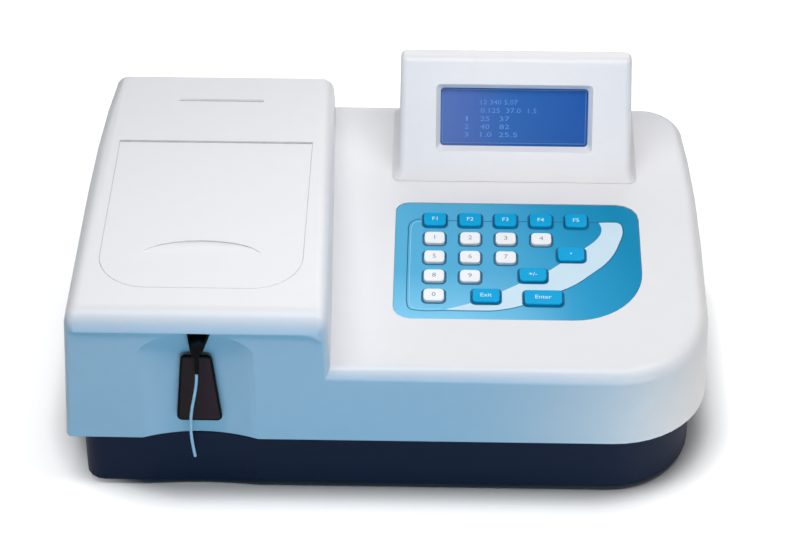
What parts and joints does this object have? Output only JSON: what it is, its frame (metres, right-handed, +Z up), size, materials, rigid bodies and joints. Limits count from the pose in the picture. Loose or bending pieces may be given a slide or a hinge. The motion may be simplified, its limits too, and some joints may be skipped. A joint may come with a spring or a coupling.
{
  "type": "benchtop chemistry analyzer",
  "caption": "Bench-top photometric analyzer with a hinged bay lid over pump, flow cell and printer, a niche with sampling tube and push plate, a keypad and a leaning display hood.",
  "frame": {"origin": "middle of the bounding box in plan, on the bench", "axes": "+X to the user's right, +Y to the back, +Z up; the niche and keypad face -Y"},
  "size_m": [0.42, 0.273, 0.1967],
  "materials": {
    "shell_white": "fine satin texture",
    "base_navy": "satin",
    "liner_grey": "satin",
    "black_plastic": "satin",
    "gloss_black": "gloss",
    "plate_brown": "high gloss",
    "feet_rubber": "matte",
    "platen_rubber": "matte",
    "silicone": "satin, translucent",
    "tube_clear": "translucent",
    "overlay_blue": "printed film, satin gloss",
    "key_blue": "satin gloss",
    "key_white": "satin gloss",
    "lcd_glass": "clear",
    "lcd_blue": "blue display",
    "lamp_glass": "clear quartz",
    "cell_glass": "clear quartz",
    "steel": "brushed",
    "aluminium": "plain",
    "board_green": "solder mask",
    "paper": "matte paper"
  },
  "bodies": {
    "case": {"keypad_overlay": "overlay_blue", "keypad_board": "board_green", "lid_hinge_pin": "steel", "bay_liner": "liner_grey", "printer_frame": "black_plastic", "pump_housing": "liner_grey", "pump_motor": "steel", "pump_line": "silicone", "flow_cell_block": "aluminium", "flow_cell": "cell_glass", "photo_detector": "black_plastic", "lcd_window": "lcd_glass", "lcd_module": "lcd_blue", "fan_frame": "black_plastic", "base_tray": "base_navy", "upper_cover": "shell_white", "foot_front_left": "feet_rubber", "foot_front_right": "feet_rubber", "foot_back_left": "feet_rubber", "foot_back_right": "feet_rubber", "optical_bench": "aluminium", "lamp_housing": "aluminium", "halogen_lamp": "lamp_glass", "filter_motor": "steel", "sipper_nozzle": "gloss_black", "sipper_tube": "tube_clear", "sipper_switch": "black_plastic", "display_hood": "shell_white", "power_inlet": "black_plastic", "serial_port": "steel", "waste_fitting": "liner_grey", "power_supply": "aluminium", "main_board": "board_green"},
    "lid": {"service_lid": "shell_white"},
    "push_plate": {"sipper_plate": "plate_brown"},
    "rocker": {"power_rocker": "black_plastic"},
    "wheel": {"filter_wheel": "black_plastic"},
    "rotor": {"pump_rotor": "shell_white"},
    "fan": {"fan_rotor": "black_plastic"},
    "roll": {"paper_roll": "paper"},
    "platen": {"platen_roller": "platen_rubber"},
    "key_f1_cap": {"key_f1": "key_blue"},
    "key_f2_cap": {"key_f2": "key_blue"},
    "key_f3_cap": {"key_f3": "key_blue"},
    "key_f4_cap": {"key_f4": "key_blue"},
    "key_f5_cap": {"key_f5": "key_blue"},
    "key_1_cap": {"key_1": "key_white"},
    "key_2_cap": {"key_2": "key_white"},
    "key_3_cap": {"key_3": "key_white"},
    "key_4_cap": {"key_4": "key_white"},
    "key_5_cap": {"key_5": "key_white"},
    "key_6_cap": {"key_6": "key_white"},
    "key_7_cap": {"key_7": "key_white"},
    "key_8_cap": {"key_8": "key_white"},
    "key_9_cap": {"key_9": "key_white"},
    "key_0_cap": {"key_0": "key_white"},
    "key_point_cap": {"key_point": "key_blue"},
    "key_sign_cap": {"key_sign": "key_blue"},
    "key_exit_cap": {"key_exit": "key_blue"},
    "key_enter_cap": {"key_enter": "key_blue"}
  },
  "joints": [
    {"name": "lid_hinge", "type": "hinge", "parent": "case", "child": "lid", "pos_m": [-0.12159, 0.04953, 0.14595], "axis": [-1, 0, 0], "range_deg": [0, 80]},
    {"name": "plate_press", "type": "slide", "parent": "case", "child": "push_plate", "axis": [0, 1, 0], "range_m": [0, 0.0012], "stiffness_N_per_m": 400},
    {"name": "rocker_tilt", "type": "hinge", "parent": "case", "child": "rocker", "pos_m": [0.134, 0.1258, 0.025], "axis": [-1, 0, 0], "range_deg": [0, 14]},
    {"name": "wheel_turn", "type": "hinge", "parent": "case", "child": "wheel", "pos_m": [0.02201, -0.06926, 0.06956], "axis": [1, 0, 0], "continuous": true},
    {"name": "pump_turn", "type": "hinge", "parent": "case", "child": "rotor", "pos_m": [-0.1572, -0.06922, 0.08316], "axis": [0, -0.0121, 0.9999], "continuous": true},
    {"name": "fan_spin", "type": "hinge", "parent": "case", "child": "fan", "pos_m": [0.12, 0.12017, 0.08328], "axis": [0, 0.9988, 0.0499], "continuous": true},
    {"name": "roll_turn", "type": "hinge", "parent": "case", "child": "roll", "pos_m": [-0.15009, 0.02436, 0.11864], "axis": [1, 0, 0], "continuous": true},
    {"name": "platen_turn", "type": "hinge", "parent": "case", "child": "platen", "pos_m": [-0.12159, 0.09119, 0.13345], "axis": [1, 0, 0], "continuous": true},
    {"name": "key_f1_press", "type": "slide", "parent": "case", "child": "key_f1_cap", "axis": [0, 0.0843, -0.9964], "range_m": [0, 0.0012], "stiffness_N_per_m": 500},
    {"name": "key_f2_press", "type": "slide", "parent": "case", "child": "key_f2_cap", "axis": [0, 0.0843, -0.9964], "range_m": [0, 0.0012], "stiffness_N_per_m": 500},
    {"name": "key_f3_press", "type": "slide", "parent": "case", "child": "key_f3_cap", "axis": [0, 0.0843, -0.9964], "range_m": [0, 0.0012], "stiffness_N_per_m": 500},
    {"name": "key_f4_press", "type": "slide", "parent": "case", "child": "key_f4_cap", "axis": [0, 0.0843, -0.9964], "range_m": [0, 0.0012], "stiffness_N_per_m": 500},
    {"name": "key_f5_press", "type": "slide", "parent": "case", "child": "key_f5_cap", "axis": [0, 0.0843, -0.9964], "range_m": [0, 0.0012], "stiffness_N_per_m": 500},
    {"name": "key_1_press", "type": "slide", "parent": "case", "child": "key_1_cap", "axis": [0, 0.0843, -0.9964], "range_m": [0, 0.0012], "stiffness_N_per_m": 500},
    {"name": "key_2_press", "type": "slide", "parent": "case", "child": "key_2_cap", "axis": [0, 0.0843, -0.9964], "range_m": [0, 0.0012], "stiffness_N_per_m": 500},
    {"name": "key_3_press", "type": "slide", "parent": "case", "child": "key_3_cap", "axis": [0, 0.0843, -0.9964], "range_m": [0, 0.0012], "stiffness_N_per_m": 500},
    {"name": "key_4_press", "type": "slide", "parent": "case", "child": "key_4_cap", "axis": [0, 0.0843, -0.9964], "range_m": [0, 0.0012], "stiffness_N_per_m": 500},
    {"name": "key_5_press", "type": "slide", "parent": "case", "child": "key_5_cap", "axis": [0, 0.0843, -0.9964], "range_m": [0, 0.0012], "stiffness_N_per_m": 500},
    {"name": "key_6_press", "type": "slide", "parent": "case", "child": "key_6_cap", "axis": [0, 0.0843, -0.9964], "range_m": [0, 0.0012], "stiffness_N_per_m": 500},
    {"name": "key_7_press", "type": "slide", "parent": "case", "child": "key_7_cap", "axis": [0, 0.0843, -0.9964], "range_m": [0, 0.0012], "stiffness_N_per_m": 500},
    {"name": "key_8_press", "type": "slide", "parent": "case", "child": "key_8_cap", "axis": [0, 0.0843, -0.9964], "range_m": [0, 0.0012], "stiffness_N_per_m": 500},
    {"name": "key_9_press", "type": "slide", "parent": "case", "child": "key_9_cap", "axis": [0, 0.0843, -0.9964], "range_m": [0, 0.0012], "stiffness_N_per_m": 500},
    {"name": "key_0_press", "type": "slide", "parent": "case", "child": "key_0_cap", "axis": [0, 0.0843, -0.9964], "range_m": [0, 0.0012], "stiffness_N_per_m": 500},
    {"name": "key_point_press", "type": "slide", "parent": "case", "child": "key_point_cap", "axis": [0, 0.0843, -0.9964], "range_m": [0, 0.0012], "stiffness_N_per_m": 500},
    {"name": "key_sign_press", "type": "slide", "parent": "case", "child": "key_sign_cap", "axis": [0, 0.0843, -0.9964], "range_m": [0, 0.0012], "stiffness_N_per_m": 500},
    {"name": "key_exit_press", "type": "slide", "parent": "case", "child": "key_exit_cap", "axis": [0, 0.0843, -0.9964], "range_m": [0, 0.0012], "stiffness_N_per_m": 500},
    {"name": "key_enter_press", "type": "slide", "parent": "case", "child": "key_enter_cap", "axis": [0, 0.0843, -0.9964], "range_m": [0, 0.0012], "stiffness_N_per_m": 500}
  ],
  "couplings": [
    {"joint": "platen_turn", "follows": "roll_turn", "ratio": 3.6667}
  ]
}
